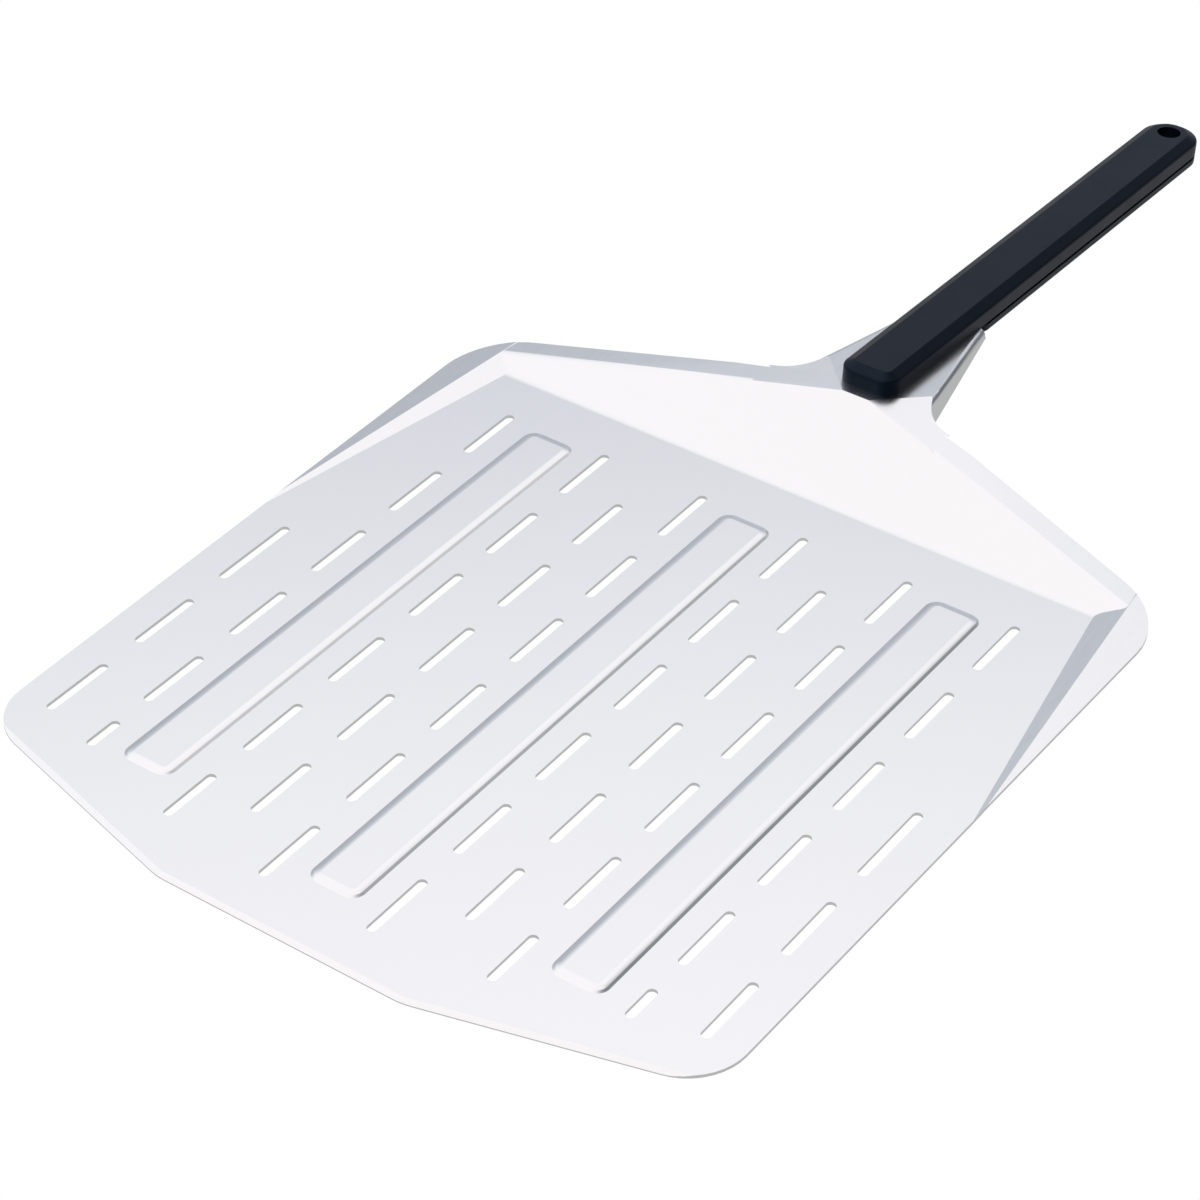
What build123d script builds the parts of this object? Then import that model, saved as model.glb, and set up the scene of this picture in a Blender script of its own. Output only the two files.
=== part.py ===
from build123d import *
import os
from math import atan, cos, degrees, radians, sin, tan

# Pizza peel: one perforated, embossed aluminium sheet whose neck and tang run
# back into a two-shell moulded handle, held together by three screws.
# Frame: +Z up, +Y from the leading edge toward the handle, X across.
# Origin: middle of the overall length, on the underside of the blade floor.

# ---- overall sizes (mm) ----
overall_length = 719.0
rear_width = 360.0
front_width = 352.0
sheet_thickness = 1.5

# ---- blade outline; positions along Y are counted from the leading edge ----
nose_width = 118.0
front_sweep = 15.0
side_end = 368.0
shoulder_angle = 17.1
nose_bend_radius = 30.0
front_corner_radius = 27.0
rear_corner_radius = 36.0

# ---- leading edge ground bevel ----
bevel_width = 2.6
edge_thickness = 0.6

# ---- ramp from the floor up to the neck ----
crease_position = 353.5
ramp_angle = 20.1
neck_rise = 19.3
ramp_top_radius = 42.0
crease_radius = 17.0

# ---- outer band of each shoulder, behind the crest that bounds the ramp ----
crest_reach = 55.5
crest_angle = 16.2
crest_radius = 10.0
band_slope = 0.04
band_twist_start = 44.0
band_twist = 0.0004

# ---- raised rim along each side ----
rim_foot_inset = 26.9
rim_foot_angle = 10.0
rim_inner_slope = 0.25
rim_outer_slope = 0.165
rim_edge_height = 0.2
rim_crest_radius = 8.0

# ---- embossed ribs ----
rib_width = 25.0
rib_height = 1.1
rib_slope_width = 2.6
rib_corner_radius = 6.0
rib_edge_radius = 7.5
rib_rear_gap = 31.0
rib_front_gap = 32.0

# ---- perforation slots ----
slot_width = 4.4
slot_length = 35.0
slot_pitch = 53.8
column_pitch = 26.2
rib_column = 4
edge_column_offset = 28.2
slot_rear_gap = 27.0
slot_front_gap = 22.6
long_slot_extra = 9.5
short_slot_extra = 2.3
row_count = 6

# ---- neck and tang ----
neck_angle = 2.8
neck_taper = 10.9
neck_root_radius = 20.0
neck_flare = 14.0
neck_reach = 22.0
neck_end_overhang = 2.2
fold_radius = 3.0
skirt_lean = 14.0
skirt_clearance = 9.0
skirt_climb = 2.2
skirt_flare = 17.0
skirt_fall = 13.0
skirt_hem = 1.8
skirt_front_radius = 16.0
skirt_rear_radius = 7.0

# ---- handle ----
handle_setback = 0.4
handle_width = 28.8
upper_height = 9.7
lower_height = 3.8
lower_start = 80.5
handle_front_radius = 8.0
bevel_across = 5.1
bevel_down = 2.8
side_edge_radius = 1.8
bottom_edge_radius = 1.2
top_edge_radius = 0.6
tang_reveal = 2.4
lower_gap = 0.6

# ---- hanging hole ----
hole_diameter = 11.8
collar_wall = 2.2
collar_clearance = 0.3

# ---- core pockets inside the upper shell ----
skin = 2.8
pocket_width = 17.0
pocket_margin = 8.0
pocket_count = 8
web = 2.5
boss_diameter = 9.0
pocket_corner_radius = 2.0
boss_skin = 1.0

# ---- screws ----
screw_count = 3
screw_first = 98.0
screw_pitch = 76.0
shank_diameter = 4.0
head_diameter = 7.2
head_height = 1.6
head_recess = 0.4
grip_length = 6.0
passing_clearance = 0.4
thread_clearance = 0.05
head_clearance = 0.4
drive_across = 2.5
drive_depth = 1.0
pilot_runout = 0.6
tip_chamfer = 0.6
head_edge_radius = 0.7

# ---- sizes that follow from the ones above ----
T = sheet_thickness
front_y = -overall_length / 2
floor_top = T
crease_y = front_y + crease_position
ramp_slope = tan(radians(ramp_angle))
neck_slope = tan(radians(neck_angle))
shoulder_slope = tan(radians(shoulder_angle))
sweep_slope = tan(radians(front_sweep))
taper_slope = tan(radians(neck_taper))
tang_half = handle_width / 2 - tang_reveal
neck_length = lower_start - lower_gap
neck_end_half = handle_width / 2 + neck_end_overhang
root_half = neck_end_half + taper_slope * (neck_length + handle_setback)
side_y = front_y + side_end
root_y = side_y + shoulder_slope * (rear_width / 2 - root_half)
handle_y = root_y - handle_setback
neck_top = floor_top + neck_rise
half_turn = (90 - degrees(atan(bevel_down / bevel_across))) / 2
side_top = upper_height - bevel_down - side_edge_radius * tan(radians(half_turn))
tail_reach = overall_length / 2 - handle_y - side_top * sin(radians(neck_angle))
tail_reach = tail_reach - side_edge_radius * (1 - cos(radians(neck_angle)))
handle_length = tail_reach / cos(radians(neck_angle))
tail_radius = handle_width / 2
hole_u = handle_length - tail_radius
hole_radius = hole_diameter / 2
collar_radius = hole_radius + collar_wall
big = 2 * overall_length

# Local frame of the handle: x across, y back along the tang from the handle's
# front end, z square to the tang, zero on the tang's top face.
HANDLE = Plane(
    origin=(0, handle_y, neck_top),
    x_dir=(1, 0, 0),
    z_dir=(0, sin(radians(neck_angle)), cos(radians(neck_angle))),
)


def side_x(y):
    """Half width of the blade at a position along Y."""
    share = (y - front_y) / side_end
    return (front_width + (rear_width - front_width) * share) / 2


def front_line(x):
    """Y of the front edge at a distance x from the middle."""
    return front_y + max(0.0, abs(x) - nose_width / 2) * sweep_slope


def half_space(point, normal):
    """A large block lying under the plane through point."""
    return Plane(origin=point, z_dir=normal) * Pos(0, 0, -big / 2) * Box(big, big, big)


def blade_outline():
    """Plan outline of the blade without its neck."""
    corner_x = side_x(front_y + (front_width - nose_width) / 2 * sweep_slope)
    corner_y = front_line(corner_x)
    apex_y = side_y + shoulder_slope * rear_width / 2
    half = [
        (nose_width / 2, front_y),
        (corner_x, corner_y),
        (rear_width / 2, side_y),
    ]
    left = [(-x, y) for x, y in reversed(half)]
    face = make_face(Polyline(*half, (0, apex_y), *left, close=True))
    picks = [
        (nose_width / 2, front_y, nose_bend_radius),
        (corner_x, corner_y, front_corner_radius),
        (rear_width / 2, side_y, rear_corner_radius),
    ]
    for x, y, radius in picks:
        corners = [v for v in face.vertices() if abs(abs(v.X) - x) < 1e-3 and abs(v.Y - y) < 1e-3]
        face = fillet(corners, radius)
    return face


def ramp_profile():
    """Side profile of the ramp and the neck top, as one wedge across the blade."""
    top_y = (neck_top + neck_slope * handle_y - floor_top + ramp_slope * crease_y)
    top_y = top_y / (ramp_slope + neck_slope)
    top_z = floor_top + ramp_slope * (top_y - crease_y)
    start_y = crease_y - crease_radius
    end_y = handle_y + neck_length
    end_z = neck_top - neck_slope * (end_y - handle_y)
    points = [
        (start_y, -T),
        (start_y, floor_top),
        (crease_y, floor_top),
        (top_y, top_z),
        (end_y, end_z),
        (end_y, -T),
    ]
    face = make_face(Plane.YZ * Polyline(*points, close=True))
    for y, radius in ((crease_y, crease_radius), (top_y, ramp_top_radius)):
        corner = [v for v in face.vertices() if abs(v.Y - y) < 1e-6]
        face = fillet(corner, radius)
    return extrude(face, rear_width, both=True)


def band_section(x, side):
    """Block section under the outer band at a distance x from the middle."""
    crest_y = crest_reach - tan(radians(crest_angle)) * x
    crest_z = floor_top + ramp_slope * crest_y
    slope = band_slope - band_twist * max(0.0, x - band_twist_start)
    front = -2 * crest_reach
    rear = 3 * crest_reach
    points = [
        (crease_y + front, crest_z + slope * (front - crest_y)),
        (crease_y + rear, crest_z + slope * (rear - crest_y)),
        (crease_y + rear, front),
        (crease_y + front, front),
    ]
    wire = Polyline(*points, close=True)
    return make_face(Plane.YZ.offset(side * x) * wire)


def band_plane(side):
    """Block under the twisted outer band of one shoulder."""
    twist_end = rear_width / 2 + rear_corner_radius
    span = twist_end - band_twist_start
    stations = [-neck_flare, 0, band_twist_start]
    stations += [band_twist_start + span * i / 4 for i in (1, 2, 3, 4)]
    block = loft([band_section(x, side) for x in stations])
    inner = Pos(-side * big / 4, 0, 0) * Box(big / 2, big, 4 * crest_reach)
    return block + inner


def rim_outer(side):
    """Block under the outer slope of one side rim."""
    x = side * rear_width / 2
    point = (x, side_y, floor_top + rim_edge_height)
    return half_space(point, (side * rim_outer_slope, 0, 1))


def rim_inner(side):
    """Block under the inner slope of one side rim."""
    foot_x = side * (side_x(crease_y) - rim_foot_inset)
    angle = radians(rim_foot_angle)
    normal = (-side * cos(angle) * rim_inner_slope, -sin(angle) * rim_inner_slope, 1)
    return half_space((foot_x, crease_y, floor_top), normal)


def shoulder_body(plan):
    """Ramp and neck top bounded by the shoulder bands and the side slopes."""
    body = ramp_profile()
    for side in (-1, 1):
        body = body & band_plane(side)
    body = fillet(crest_edges(body), crest_radius)
    body = body & extrude(plan, 2 * neck_rise, both=True)
    for side in (-1, 1):
        body = body & rim_outer(side)
    return body


def rim_body(plan, side):
    """Raised rim along one side edge."""
    wedge = rim_inner(side) & rim_outer(side)
    crest = [e for e in wedge.edges() if abs((e @ 0.5).X) < rear_width / 2 + 1]
    crest = [e for e in crest if floor_top - big / 4 < (e @ 0.5).Z < floor_top + big / 4]
    if crest:
        wedge = fillet(crest[0], rim_crest_radius)
    body = extrude(plan, 2 * neck_rise, both=True) & wedge
    return body & (Pos(side * big / 4, 0, 0) * Box(big / 2, big, 2 * neck_rise))


def rib_body(x, drop):
    """One embossed rib, tapered up to its flat top."""
    rear_y = crease_y - rib_rear_gap
    front_y_here = front_line(x) + rib_front_gap
    length = rear_y - front_y_here
    foot = RectangleRounded(rib_width, length, rib_corner_radius)
    lean = degrees(atan(rib_slope_width / rib_height))
    rib = extrude(foot, rib_height, taper=lean)
    rib = fillet(rib.edges().group_by(Axis.Z)[-1], rib_edge_radius)
    rib = rib + Pos(0, 0, -T) * extrude(foot, T)
    return Pos(x, (rear_y + front_y_here) / 2, floor_top - drop) * rib


def rib_positions():
    """X of the three ribs."""
    return [-rib_column * column_pitch, 0, rib_column * column_pitch]


def drawn_body(plan, drop):
    """Everything under the blade's top face, lowered by drop."""
    slab = extrude(plan, 2 * T, both=True) & (Pos(0, 0, floor_top - big / 2) * Box(big, big, big))
    body = slab + shoulder_body(plan) + rim_body(plan, 1) + rim_body(plan, -1)
    return Pos(0, 0, -drop) * body


def crest_edges(body):
    """Edges where the ramp meets the shoulder bands."""
    picked = []
    for edge in body.edges():
        middle = edge @ 0.5
        crest_y = crease_y + crest_reach - tan(radians(crest_angle)) * abs(middle.X)
        near_crest = abs(middle.Y - crest_y) < crest_radius and middle.Z > floor_top
        if near_crest and abs(middle.X) > neck_flare / 2 and edge.length > 2 * crest_radius:
            picked.append(edge)
    return picked


def neck_outline(inset, rear):
    """Plan of the neck in the handle frame, moved in from its edge by inset."""
    half_rear = neck_end_half + taper_slope * (neck_length - rear) - inset
    half_root = root_half - inset
    flare = neck_flare + inset
    flare_u = handle_setback - shoulder_slope * flare
    right = [
        (half_rear, rear),
        (half_root, handle_setback),
        (half_root + flare, flare_u),
        (half_root + flare, -neck_reach),
    ]
    left = [(-x, u) for x, u in reversed(right)]
    face = make_face(Polyline(*right, *left, close=True))
    root = [v for v in face.vertices() if abs(v.Y - handle_setback) < 1e-6]
    return fillet(root, neck_root_radius + inset)


def neck_channel(plan, inset, rear, radius):
    """Neck as a block with leaning sides and a rounded top edge."""
    outline = neck_outline(inset, rear + neck_root_radius)
    block = extrude(outline, neck_top + 2 * T, dir=(0, 0, -1), taper=-skirt_lean)
    top = block.edges().group_by(Axis.Z)[-1]
    sides = [e for e in top if e.center().Y > -neck_reach + 1 and abs(e.center().X) > 2]
    block = fillet(sides, radius)
    block = block & (Pos(0, rear - big / 2, 0) * Box(big, big, big))
    block = HANDLE * Pos(0, 0, -inset) * block
    lowered = Pos(0, 0, -inset)
    for side in (-1, 1):
        block = block & (lowered * band_plane(side))
    ramp = half_space((0, crease_y, floor_top), (0, -ramp_slope, 1))
    return block & (lowered * ramp)


def skirt_trim():
    """What is cut away below the neck's turned-down sides."""
    hem_z = floor_top + skirt_clearance
    start_y = root_y - shoulder_slope * skirt_flare
    start_z = neck_top - T - skirt_hem
    foot_y = start_y + skirt_fall
    tip_y = handle_y + neck_length + fold_radius
    tip_z = start_z - 2 * fold_radius
    points = [
        (start_y - skirt_fall, -neck_rise),
        (start_y - skirt_fall, tip_z),
        (start_y, start_z),
        (foot_y, hem_z),
        (tip_y - fold_radius, hem_z + skirt_climb),
        (tip_y, tip_z),
        (tip_y + neck_length, tip_z),
        (tip_y + neck_length, -neck_rise),
    ]
    face = make_face(Plane.YZ * Polyline(*points, close=True))
    for y, radius in ((foot_y, skirt_front_radius), (tip_y - fold_radius, skirt_rear_radius)):
        corner = [v for v in face.vertices() if abs(v.Y - y) < 1e-6]
        face = fillet(corner, radius)
    return extrude(face, root_half + 2 * neck_flare, both=True)


def tang():
    """Flat tongue that runs the length of the handle, with its holes."""
    start = neck_length - neck_root_radius
    straight = hole_u - start
    plate = Pos(0, start + straight / 2, -T / 2) * Box(2 * tang_half, straight, T)
    plate = plate + Pos(0, hole_u, -T / 2) * Cylinder(tang_half, T)
    plate = plate - Pos(0, hole_u, -T / 2) * Cylinder(collar_radius + collar_clearance, 3 * T)
    for u in screw_stations():
        plate = plate - Pos(0, u, -T / 2) * Cylinder(shank_diameter / 2 + passing_clearance, 3 * T)
    return HANDLE * plate


def screw_stations():
    """Distances of the screws from the handle's front end."""
    return [screw_first + screw_pitch * i for i in range(screw_count)]


def slot_cut(x, rear_y, length):
    """One through slot with round ends, its rear end at rear_y."""
    shape = Pos(x, rear_y - length / 2, floor_top) * Rotation(0, 0, 90) * SlotOverall(length, slot_width)
    return extrude(shape, 3 * T, both=True)


def slot_list():
    """Every slot as x, rear end and length."""
    slots = []
    first_rear = crease_y - slot_rear_gap
    edge_x = 5 * column_pitch + edge_column_offset
    for column in (1, 2, 3, 5):
        x = column * column_pitch
        offset = slot_pitch / 2 if column == 2 else 0.0
        for row in range(row_count):
            rear = first_rear - offset - row * slot_pitch
            room = rear - (front_line(x) + slot_front_gap)
            length = min(slot_length, room)
            extra = short_slot_extra if length < slot_length / 2 else 0.0
            if length > 2 * slot_width:
                slots.append((x, rear + extra, length + extra))
    for row in range(2, row_count - 1):
        rear = first_rear - slot_pitch / 2 - row * slot_pitch
        extra = long_slot_extra if row == 2 else 0.0
        slots.append((edge_x, rear + extra, slot_length + extra))
    return slots


def leading_bevel():
    """Blocks over the ground bevel: the nose and the swept length on each side."""
    slope = (T - edge_thickness) / bevel_width
    blocks = []
    for side in (-1, 0, 1):
        turn = side * radians(front_sweep)
        point = (side * nose_width / 2, front_y, edge_thickness)
        blocks.append(half_space(point, (-sin(turn) * slope, cos(turn) * slope, -1)))
    return blocks


def make_blade():
    """Perforated blade with its ribs, rims, ramp, neck and tang in one sheet."""
    plan = blade_outline()
    outer = drawn_body(plan, 0)
    inner = drawn_body(plan, T)
    outer = outer + neck_channel(plan, 0, neck_length, fold_radius)
    inner = inner + neck_channel(plan, T, neck_length + 10, fold_radius - T)
    for x in rib_positions():
        outer = outer + rib_body(x, 0)
        inner = inner + rib_body(x, T)
    sheet = outer - inner
    sheet = sheet & (Pos(0, 0, big / 2) * Box(big, big, big))
    sheet = sheet - skirt_trim()
    cuts = []
    for x, rear, length in slot_list():
        cuts.append(slot_cut(x, rear, length))
        cuts.append(slot_cut(-x, rear, length))
    sheet = sheet - Compound(children=cuts)
    for block in leading_bevel():
        sheet = sheet - block
    return sheet + tang()


def shell_outline(start):
    """Plan of a handle shell, square-ended at start and round at the tail."""
    half = handle_width / 2
    straight = hole_u - start
    body = Pos(0, start + straight / 2) * Rectangle(handle_width, straight)
    body = body + Pos(0, hole_u) * Circle(half)
    front = [v for v in body.vertices() if abs(v.Y - start) < 1e-6]
    return fillet(front, handle_front_radius)


def pocket_stations():
    """Middles of the core pockets along the handle."""
    span = hole_u - collar_radius - 2 * pocket_margin
    step = span / pocket_count
    return [pocket_margin + step * (i + 0.5) for i in range(pocket_count)]


def make_upper_shell():
    """Upper handle shell: bevelled bar, cored from below, with screw bosses."""
    bar = extrude(shell_outline(0), upper_height)
    rim = bar.edges().group_by(Axis.Z)[-1]
    bar = chamfer(rim, bevel_across, bevel_down, reference=bar.faces().sort_by(Axis.Z)[-1])
    lower_ring = [e for e in bar.edges() if abs(e.center().Z - (upper_height - bevel_down)) < 0.01]
    bar = fillet(lower_ring, side_edge_radius)
    bar = fillet(bar.edges().group_by(Axis.Z)[-1], top_edge_radius)
    depth = upper_height - skin
    step = pocket_stations()[1] - pocket_stations()[0]
    for u in pocket_stations():
        pocket = extrude(RectangleRounded(pocket_width, step - web, pocket_corner_radius), depth)
        bar = bar - Pos(0, u, 0) * pocket
    for u in screw_stations():
        boss = upper_height - boss_skin
        bar = bar + Pos(0, u, boss / 2) * Cylinder(boss_diameter / 2, boss)
        pilot = grip_length + pilot_runout
        bar = bar - Pos(0, u, pilot / 2) * Cylinder(shank_diameter / 2 + thread_clearance, pilot)
    bar = bar - Pos(0, hole_u, upper_height / 2) * Cylinder(hole_radius, 3 * upper_height)
    return HANDLE * bar


def make_lower_shell():
    """Lower handle shell with the collar that lines the hanging hole."""
    bar = extrude(shell_outline(lower_start), -lower_height)
    bar = fillet(bar.edges().group_by(Axis.Z)[0], bottom_edge_radius)
    collar = Pos(0, hole_u, (T - lower_height) / 2) * Cylinder(collar_radius, lower_height + T)
    bar = bar + collar
    bar = bar - Pos(0, hole_u, 0) * Cylinder(hole_radius, 6 * lower_height)
    recess = head_height + head_recess
    for u in screw_stations():
        bar = bar - Pos(0, u, 0) * Cylinder(shank_diameter / 2 + passing_clearance, 6 * lower_height)
        seat = Cylinder(head_diameter / 2 + head_clearance, recess)
        bar = bar - Pos(0, u, recess / 2 - lower_height) * seat
    return HANDLE * Pos(0, 0, -T) * bar


def make_screw():
    """One pan-head screw, point up, its head seat at zero."""
    length = lower_height - head_height - head_recess + T + grip_length
    shank = Pos(0, 0, length / 2) * Cylinder(shank_diameter / 2, length)
    shank = chamfer(shank.edges().group_by(Axis.Z)[-1], tip_chamfer)
    head = Pos(0, 0, -head_height / 2) * Cylinder(head_diameter / 2, head_height)
    head = fillet(head.edges().group_by(Axis.Z)[0], head_edge_radius)
    socket = RegularPolygon(drive_across / 2, 6, major_radius=False)
    drive = Pos(0, 0, -head_height) * extrude(socket, drive_depth)
    return shank + head - drive


def make_screws():
    """The handle screws, as one group."""
    seat = -T - lower_height + head_height + head_recess
    return [HANDLE * Pos(0, u, seat) * make_screw() for u in screw_stations()]


def save(name, shape):
    """Write one sub-part."""
    export_step(shape, "parts/" + name + ".step")


os.makedirs("parts", exist_ok=True)
save("blade", make_blade())
save("handle_upper", make_upper_shell())
save("handle_lower", make_lower_shell())
save("handle_screws", Compound(children=make_screws()))
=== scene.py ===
import math

import bpy
from mathutils import Matrix, Vector

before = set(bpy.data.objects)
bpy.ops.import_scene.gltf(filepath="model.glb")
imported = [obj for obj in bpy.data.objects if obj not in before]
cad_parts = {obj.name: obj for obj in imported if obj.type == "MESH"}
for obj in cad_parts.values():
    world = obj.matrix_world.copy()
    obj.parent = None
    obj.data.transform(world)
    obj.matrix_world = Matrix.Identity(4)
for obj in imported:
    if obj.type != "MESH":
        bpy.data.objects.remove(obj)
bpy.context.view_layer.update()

# ---- camera (metres, degrees) ----
CAMERA_AZIMUTH = 34.77
CAMERA_ELEVATION = 37.76
CAMERA_ROLL = 0.79
CAMERA_LENS = 104.66
CAMERA_SENSOR = 36.0
CAMERA_PLACE = Vector((0.6414, -1.0741, 0.9006))
CLIP_NEAR = 0.05
CLIP_FAR = 100.0

# ---- floor: its glow to the camera, and as the light it gives ----
FLOOR_SIZE = 60.0
FLOOR_DROP = 0.0004
FLOOR_GLOW = 1.0
FLOOR_BOUNCE = 0.50

# ---- shaded side of the studio: where it starts and is full, along +X ----
SHADE_SIDE = (0.0, 0.20)
SHADE = (0.15, 0.16, 0.18)

# ---- brightness of the studio by elevation (degrees, linear colour); the ----
# ---- stops were set to suit the tones of the main view                  ----
SURROUND = (
    (0.0, (0.43, 0.45, 0.49)),
    (12.0, (0.43, 0.46, 0.51)),
    (30.0, (0.50, 0.53, 0.59)),
    (33.6, (0.57, 0.60, 0.66)),
    (35.6, (0.86, 0.89, 0.94)),
    (39.0, (0.97, 0.98, 1.02)),
    (43.0, (1.08, 1.06, 1.09)),
    (60.0, (1.07, 1.04, 1.05)),
    (90.0, (1.07, 1.04, 1.05)),
)

# ---- noise: the range of values in use, then detail and roughness ----
NOISE_RANGE = (0.3, 0.7)
BRUSHED = (4.0, 0.62)
CLOUDY = (3.0, 0.5)
ERODED = (3.0, 0.6)
MOTTLED = (3.0, 0.55)

# ---- sockets of a colour mix node: its two colours and its result ----
MIX_A = 6
MIX_B = 7
MIX_RESULT = 2

# ---- satin aluminium (linear colour; bump distance in metres) ----
METAL_LOW = (0.885, 0.890, 0.895)
METAL_HIGH = (0.915, 0.918, 0.920)
METAL_ROUGH = (0.225, 0.27)
METAL_GRAIN = (900.0, 26.0, 900.0)
METAL_CLOUD = (9.0, 4.0, 9.0)
METAL_GRAIN_SHARE = 0.75
METAL_CLOUD_SHARE = 0.25
METAL_BUMP = 0.12
METAL_BUMP_DEPTH = 0.00004

# ---- moulded nylon, and a darker copy of it as painted shade ----
NYLON = (0.0025, 0.0055, 0.0130)
# the same nylon made darker for the lower shell: painted shade, as that shell sits
# underneath
NYLON_PAINTED_SHADE = (0.0025, 0.0050, 0.0115)
NYLON_SHEEN = (0.50, 0.72, 1.0)
NYLON_IOR = 1.5
NYLON_SPECULAR = 0.26
NYLON_ROUGH = (0.34, 0.42)
NYLON_GRAIN = 2600.0
NYLON_CLOUD = 60.0
NYLON_BUMP = 0.25
NYLON_BUMP_DEPTH = 0.00005

# ---- screw steel ----
STEEL = (0.60, 0.60, 0.62)
STEEL_ROUGH = (0.28, 0.42)
STEEL_GRAIN = 900.0


def link(material, source, output, target, entry):
    """Joins two node sockets."""
    material.node_tree.links.new(source.outputs[output], target.inputs[entry])


def node(material, kind, **settings):
    """Adds one node with the given settings."""
    made = material.node_tree.nodes.new(kind)
    for name, value in settings.items():
        setattr(made, name, value)
    return made


def new_material(name):
    """A material with only its shader and output."""
    material = bpy.data.materials.new(name)
    material.use_nodes = True
    return material, material.node_tree.nodes["Principled BSDF"]


def stretched(material, x, y, z):
    """Object coordinates scaled by different amounts along each axis."""
    place = node(material, "ShaderNodeTexCoord")
    scaled = node(material, "ShaderNodeMapping")
    scaled.inputs["Scale"].default_value = (x, y, z)
    link(material, place, "Object", scaled, "Vector")
    return scaled


def noise(material, vector, scale, detail, rough):
    """A noise texture read at the given coordinates."""
    made = node(material, "ShaderNodeTexNoise")
    made.inputs["Scale"].default_value = scale
    made.inputs["Detail"].default_value = detail
    made.inputs["Roughness"].default_value = rough
    link(material, vector, "Vector", made, "Vector")
    return made


def remap(material, source, low, high):
    """A noise node's value moved from the range in use to low..high."""
    made = node(material, "ShaderNodeMapRange")
    made.inputs["From Min"].default_value = NOISE_RANGE[0]
    made.inputs["From Max"].default_value = NOISE_RANGE[1]
    made.inputs["To Min"].default_value = low
    made.inputs["To Max"].default_value = high
    link(material, source, "Fac", made, "Value")
    return made


def bump(material, shader, source, strength, depth):
    """Raises the surface by a noise node's value."""
    made = node(material, "ShaderNodeBump")
    made.inputs["Strength"].default_value = strength
    made.inputs["Distance"].default_value = depth
    link(material, source, "Fac", made, "Height")
    link(material, made, "Normal", shader, "Normal")


def brushed_metal():
    """Satin aluminium with a fine grain that runs along Y."""
    material, shader = new_material("blade_metal")
    shader.inputs["Metallic"].default_value = 1.0
    grain = noise(material, stretched(material, *METAL_GRAIN), 1.0, *BRUSHED)
    cloud = noise(material, stretched(material, *METAL_CLOUD), 1.0, *CLOUDY)
    rough = remap(material, grain, *METAL_ROUGH)
    link(material, rough, "Result", shader, "Roughness")
    tint = node(material, "ShaderNodeMix", data_type="RGBA")
    tint.inputs[MIX_A].default_value = (*METAL_LOW, 1.0)
    tint.inputs[MIX_B].default_value = (*METAL_HIGH, 1.0)
    mixed = node(material, "ShaderNodeMath", operation="ADD")
    fine = remap(material, grain, 0.0, METAL_GRAIN_SHARE)
    wide = remap(material, cloud, 0.0, METAL_CLOUD_SHARE)
    link(material, fine, "Result", mixed, 0)
    link(material, wide, "Result", mixed, 1)
    link(material, mixed, 0, tint, 0)
    link(material, tint, MIX_RESULT, shader, "Base Color")
    bump(material, shader, grain, METAL_BUMP, METAL_BUMP_DEPTH)
    return material


def moulded_nylon(name, color):
    """Near-black plastic with a fine spark-eroded texture."""
    material, shader = new_material(name)
    shader.inputs["Base Color"].default_value = (*color, 1.0)
    shader.inputs["IOR"].default_value = NYLON_IOR
    shader.inputs["Specular IOR Level"].default_value = NYLON_SPECULAR
    shader.inputs["Specular Tint"].default_value = (*NYLON_SHEEN, 1.0)
    grain = noise(material, stretched(material, 1.0, 1.0, 1.0), NYLON_GRAIN, *ERODED)
    cloud = noise(material, stretched(material, 1.0, 1.0, 1.0), NYLON_CLOUD, *MOTTLED)
    rough = remap(material, cloud, *NYLON_ROUGH)
    link(material, rough, "Result", shader, "Roughness")
    bump(material, shader, grain, NYLON_BUMP, NYLON_BUMP_DEPTH)
    return material


def plain_steel():
    """Screw steel with a fine mottle in its gloss."""
    material, shader = new_material("screw_steel")
    shader.inputs["Metallic"].default_value = 1.0
    shader.inputs["Base Color"].default_value = (*STEEL, 1.0)
    grain = noise(material, stretched(material, 1.0, 1.0, 1.0), STEEL_GRAIN, *ERODED)
    rough = remap(material, grain, *STEEL_ROUGH)
    link(material, rough, "Result", shader, "Roughness")
    return material


def dress(name, material):
    """Gives a CAD node its finish."""
    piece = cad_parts[name]
    piece.data.materials.clear()
    piece.data.materials.append(material)


dress("blade", brushed_metal())
dress("handle_upper", moulded_nylon("handle_nylon", NYLON))
# the lower shell gets the darker copy of the nylon: painted shade under the handle
shaded_nylon_copy = moulded_nylon("handle_nylon_under", NYLON_PAINTED_SHADE)
dress("handle_lower", shaded_nylon_copy)
dress("handle_screws", plain_steel())


def make_floor():
    """A plain pale floor: white as seen, softer as the light it gives."""
    bpy.ops.mesh.primitive_plane_add(size=FLOOR_SIZE, location=(0, 0, -FLOOR_DROP))
    floor = bpy.context.active_object
    floor.name = "floor"
    material = bpy.data.materials.new("floor_white")
    material.use_nodes = True
    nodes = material.node_tree.nodes
    links = material.node_tree.links
    nodes.clear()
    rays = nodes.new("ShaderNodeLightPath")
    level = nodes.new("ShaderNodeMapRange")
    level.inputs["To Min"].default_value = FLOOR_BOUNCE
    level.inputs["To Max"].default_value = FLOOR_GLOW
    glow = nodes.new("ShaderNodeEmission")
    out = nodes.new("ShaderNodeOutputMaterial")
    links.new(rays.outputs["Is Camera Ray"], level.inputs["Value"])
    links.new(level.outputs["Result"], glow.inputs["Strength"])
    links.new(glow.outputs[0], out.inputs["Surface"])
    floor.data.materials.append(material)


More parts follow.
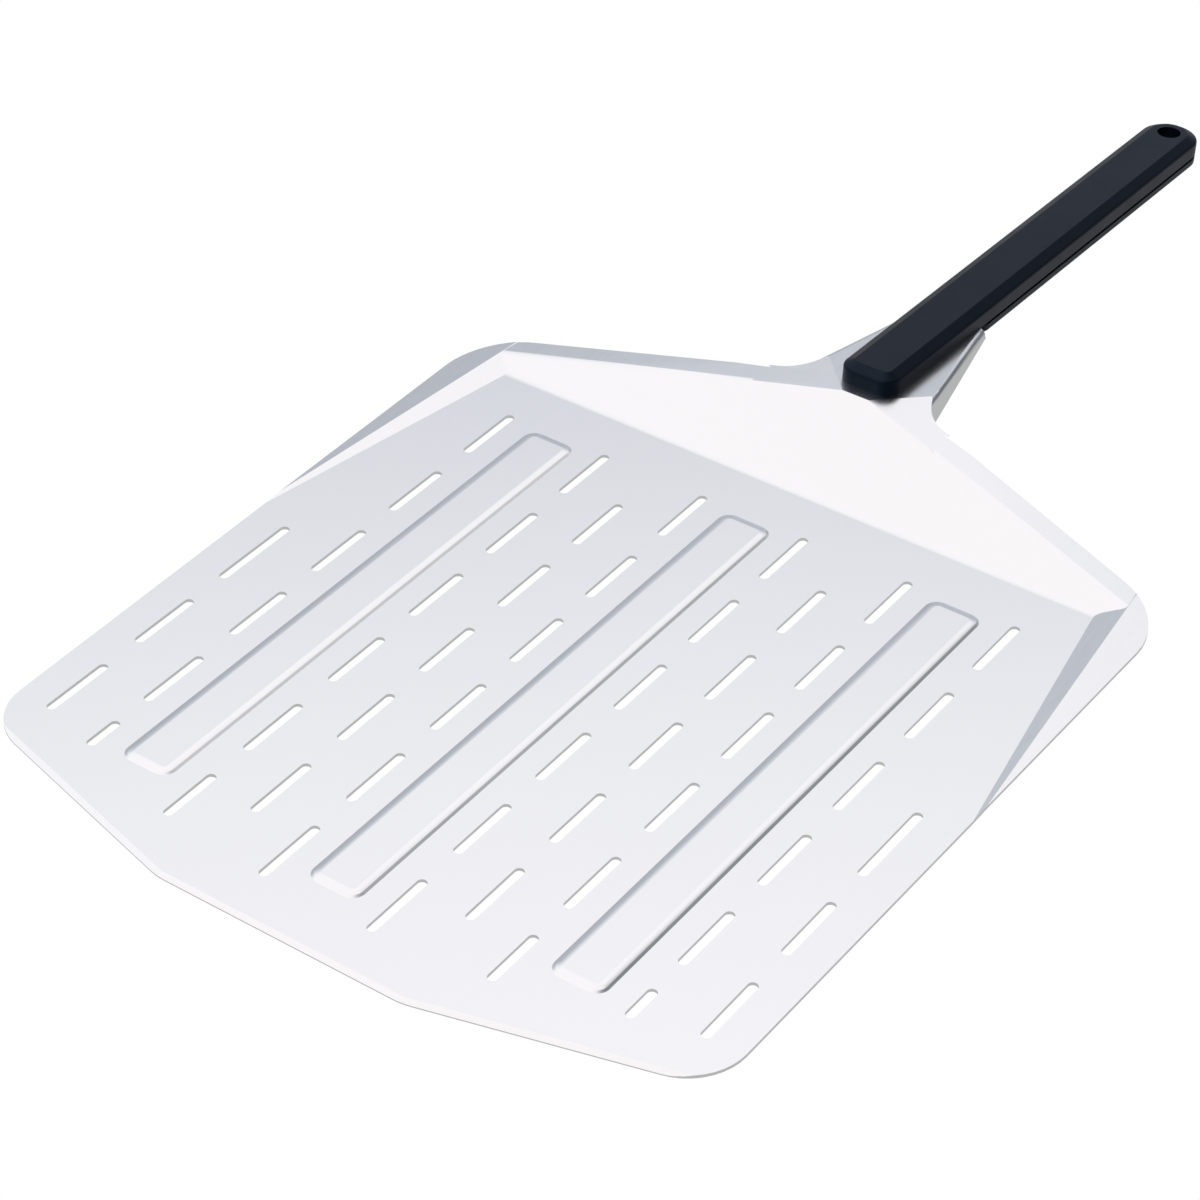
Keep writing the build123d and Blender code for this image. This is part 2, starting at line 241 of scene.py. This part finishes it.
def make_world():
    """Soft studio surround: dim walls, bright overhead, one side in shade."""
    world = bpy.data.worlds.new("studio")
    bpy.context.scene.world = world
    world.use_nodes = True
    nodes = world.node_tree.nodes
    links = world.node_tree.links
    coord = nodes.new("ShaderNodeTexCoord")
    split = nodes.new("ShaderNodeSeparateXYZ")
    ramp = nodes.new("ShaderNodeValToRGB")
    elements = ramp.color_ramp.elements
    while len(elements) < len(SURROUND):
        elements.new(0.5)
    for element, (elevation, color) in zip(elements, SURROUND):
        element.position = math.sin(math.radians(elevation))
        element.color = (*color, 1.0)
    links.new(coord.outputs["Generated"], split.inputs[0])
    links.new(split.outputs["Z"], ramp.inputs["Fac"])
    side = nodes.new("ShaderNodeMapRange")
    side.interpolation_type = "SMOOTHSTEP"
    side.inputs["From Min"].default_value = SHADE_SIDE[0]
    side.inputs["From Max"].default_value = SHADE_SIDE[1]
    shade = nodes.new("ShaderNodeMix")
    shade.data_type = "RGBA"
    shade.inputs[MIX_B].default_value = (*SHADE, 1.0)
    links.new(split.outputs["X"], side.inputs["Value"])
    links.new(side.outputs["Result"], shade.inputs[0])
    links.new(ramp.outputs["Color"], shade.inputs[MIX_A])
    links.new(shade.outputs[MIX_RESULT], nodes["Background"].inputs["Color"])


def make_camera():
    """Camera at the angle solved for the main view."""
    az, el = math.radians(CAMERA_AZIMUTH), math.radians(CAMERA_ELEVATION)
    flat = math.cos(el)
    back = Vector((math.sin(az) * flat, -math.cos(az) * flat, math.sin(el)))
    right = Vector((0, 0, 1)).cross(back).normalized()
    up = back.cross(right)
    roll = math.radians(CAMERA_ROLL)
    side = math.cos(roll) * right + math.sin(roll) * up
    top = -math.sin(roll) * right + math.cos(roll) * up
    data = bpy.data.cameras.new("camera")
    data.lens = CAMERA_LENS
    data.sensor_width = CAMERA_SENSOR
    data.clip_start = CLIP_NEAR
    data.clip_end = CLIP_FAR
    camera = bpy.data.objects.new("camera", data)
    bpy.context.scene.collection.objects.link(camera)
    turn = Matrix((side, top, back)).transposed().to_4x4()
    camera.matrix_world = Matrix.Translation(CAMERA_PLACE) @ turn
    bpy.context.scene.camera = camera


make_floor()
make_world()
make_camera()
bpy.context.scene.view_settings.view_transform = "Standard"
